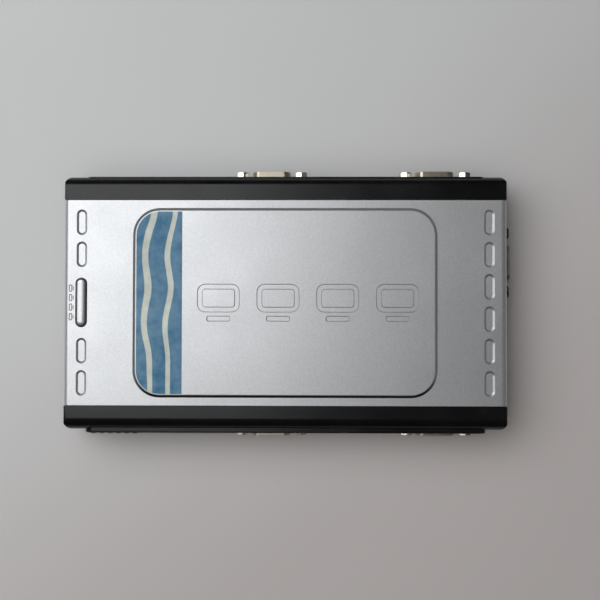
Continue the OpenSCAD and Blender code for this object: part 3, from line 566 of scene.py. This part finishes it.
# Label
# A thin film, printed with cream ribbons that wave along a blue ground and cut to the panel's corners.
# It is stuck on the left end of the raised panel.
def label_print():
    """Printed film: ribbons from a wave pattern, on a ground that is rubbed paler in places."""
    factor_in, ground_in, ribbon_in, colour_out = 0, 6, 7, 2
    made, shader = finish("label_print", (0.032, 0.154, 0.29), roughness=0.36)
    shader.inputs["Specular IOR Level"].default_value = 0.25
    noise = grained(made, shader, grain=0.8, depth=0.004, mottle=7, gloss=0.06)
    tree = made.node_tree
    entry = put(tree, "TexCoord")
    bands = put(tree, "TexWave", {"Scale": 35.0, "Distortion": 4.0, "Detail": 0.0, "Detail Scale": 1.1})
    print_mask = ramp(tree, (0.80, 0.0), (0.87, 1.0))
    ground = ramp(tree, (MOTTLE_LOW, (0.026, 0.135, 0.26)), (MOTTLE_HIGH, (0.15, 0.29, 0.42)))
    cream = ramp(tree, (MOTTLE_LOW, (0.48, 0.53, 0.48)), (MOTTLE_HIGH, (0.70, 0.74, 0.66)))
    both = put(tree, "Mix", data_type="RGBA")
    tree.links.new(entry.outputs["Object"], bands.inputs["Vector"])
    tree.links.new(bands.outputs["Fac"], print_mask.inputs["Fac"])
    for shade, place in ((ground, ground_in), (cream, ribbon_in)):
        tree.links.new(noise.outputs["Mottle"], shade.inputs["Fac"])
        tree.links.new(shade.outputs["Color"], both.inputs[place])
    tree.links.new(print_mask.outputs["Color"], both.inputs[factor_in])
    tree.links.new(both.outputs[colour_out], shader.inputs["Base Color"])
    return made


dressed("label", label_print())


# Port button
# A long pill-shaped key, moulded in ABS and painted like the cover, with painted shade round its steep edge.
# It slides in the cover's slot and presses the tact switch on the board.
STEEP_EDGE = 0.93
button = softened("port_button", SILVER, radius=0.25, body="button")
# Faces steeper than STEEP_EDGE take a darker paint: painted shade round the button's edge.
button.data.materials.append(shaded_paint("edge_painted_shade", shade=0.15))
for face in button.data.polygons:
    face.material_index = int(face.normal.z < STEEP_EDGE)


# Button marks
# Four small screens, one for each port, in a row along the left side of the button.
# They are pad printed on the paint in grey ink.
button_middle = sum(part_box("port_button"), Vector()) / 2
marks_x, mark_pitch = button_middle.x - 4.5 * MM, 4 * MM
mark_width, mark_height, mark_corner, line = 1.4 * MM, 3 * MM, 0.5 * MM, 0.36 * MM
mark_foot_gap, mark_foot_width, mark_foot_corner = 0.4 * MM, 1.6 * MM, 0.1 * MM


def grey_ink():
    """Matt ink, a little patchy."""
    made, shader = finish("grey_ink", (0.12, 0.12, 0.125), roughness=0.5)
    noise = grained(made, shader, grain=0.2, depth=0.002, mottle=2, gloss=0.08)
    tint(made, shader, noise, (0.09, 0.09, 0.095), (0.16, 0.16, 0.165))
    return made


def printed(x, y, *shape):
    """A film of ink in that outline on the cover."""
    film, above, down = 0.02 * MM, 1.0, (0, 0, -1)
    _, land, _, _ = cover.ray_cast((x, y, above), down)
    mark = flat_outline((x, y, land.z), *shape)
    bpy.ops.mesh.extrude_region_move(TRANSFORM_OT_translate={"value": (0, 0, film)})
    bpy.ops.mesh.select_all(action="SELECT")
    bpy.ops.mesh.normals_make_consistent(inside=False)
    bpy.ops.object.mode_set(mode="OBJECT")
    return mark


marks = []
for count in ROW_OF_FOUR:
    y = button_middle.y + count * mark_pitch
    marks.append(printed(marks_x, y, mark_width, mark_height, mark_corner, line))
    x = marks_x + mark_width / 2 + mark_foot_gap
    marks.append(printed(x, y, line, mark_foot_width, mark_foot_corner))
print_row = joined(marks)
print_row.name = "button_marks"
wear_material(print_row, grey_ink())
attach(print_row, "case")


# Floor, light and camera
# A pale bench with painted shade, a little darker and warmer towards its front right, a large soft light
# from the upper left,
# a pale wall on the right, and a camera almost straight above the box.
def bench_paint():
    """Pale matt paint with painted shade that darkens and warms it towards the front right."""
    darkens = (3.0, -4.6, 0)
    made, shader = finish("bench", (0.62, 0.615, 0.61), roughness=0.6)
    grained(made, shader, grain=1.5, depth=0.01, mottle=60, gloss=0.05)
    tree = made.node_tree
    entry = put(tree, "TexCoord")
    across = put(tree, "VectorMath", operation="DOT_PRODUCT")
    across.inputs[1].default_value = darkens
    # painted shade: the fall-off of light towards the front right is painted into the bench's colour
    painted_falloff = put(tree, "MapRange", {"From Min": -0.44, "From Max": 0.56}, interpolation_type="SMOOTHSTEP")
    shades = ramp(tree, (0.0, (0.61, 0.62, 0.625)), (1.0, (0.52, 0.49, 0.485)))
    tree.links.new(entry.outputs["Object"], across.inputs[0])
    tree.links.new(across.outputs["Value"], painted_falloff.inputs["Value"])
    tree.links.new(painted_falloff.outputs["Result"], shades.inputs["Fac"])
    tree.links.new(shades.outputs["Color"], shader.inputs["Base Color"])
    return made


FLOOR_SIDE = 6.0
bpy.ops.object.select_all(action="DESELECT")
bpy.ops.mesh.primitive_plane_add(size=FLOOR_SIDE, location=(0, 0, cad_box[0][2]))
floor = bpy.context.active_object
floor.name = "floor"
wear_material(floor, bench_paint())


def soft_light(name, place, size, power, colour=(1, 1, 1), target=(0, 0, 0)):
    """A rectangular area light, aimed at a target."""
    lamp = bpy.data.lights.new(name, "AREA")
    lamp.shape = "RECTANGLE"
    lamp.size, lamp.size_y = size
    lamp.energy = power
    lamp.color = colour
    holder = bpy.data.objects.new(name, lamp)
    bpy.context.scene.collection.objects.link(holder)
    holder.location = place
    aim = Vector(target) - Vector(place)
    holder.rotation_euler = aim.to_track_quat("-Z", "Y").to_euler()
    return holder


soft_light("window", place=(-0.82, 0.445, 1.0), size=(1.56, 1.2), power=11.9, colour=(0.98, 1.0, 1.02),
           target=(-0.82, 0.445, 0))
soft_light("wall", place=(0.95, 0.0, 0.75), size=(1.2, 1.0), power=0.45)
fill = soft_light("ceiling", place=(-0.4, -0.1, 1.4), size=(2.0, 2.0), power=11.3, colour=(1.04, 1.0, 0.96))
fill.visible_glossy = False
world = bpy.data.worlds.new("room")
bpy.context.scene.world = world
world.use_nodes = True
world.node_tree.nodes["Background"].inputs["Color"].default_value = (0.015, 0.015, 0.015, 1)
world.node_tree.nodes["Background"].inputs["Strength"].default_value = 1.0

eye = bpy.data.cameras.new("camera")
eye.lens = 68.1
eye.sensor_width = 36.0
camera = bpy.data.objects.new("camera", eye)
bpy.context.scene.collection.objects.link(camera)
camera.location = (0.01309, -0.01159, 0.500)
camera.rotation_euler = [math.radians(turn) for turn in (1.539, 0.906, 0.115)]
bpy.context.scene.camera = camera
bpy.context.scene.view_settings.view_transform = "Standard"
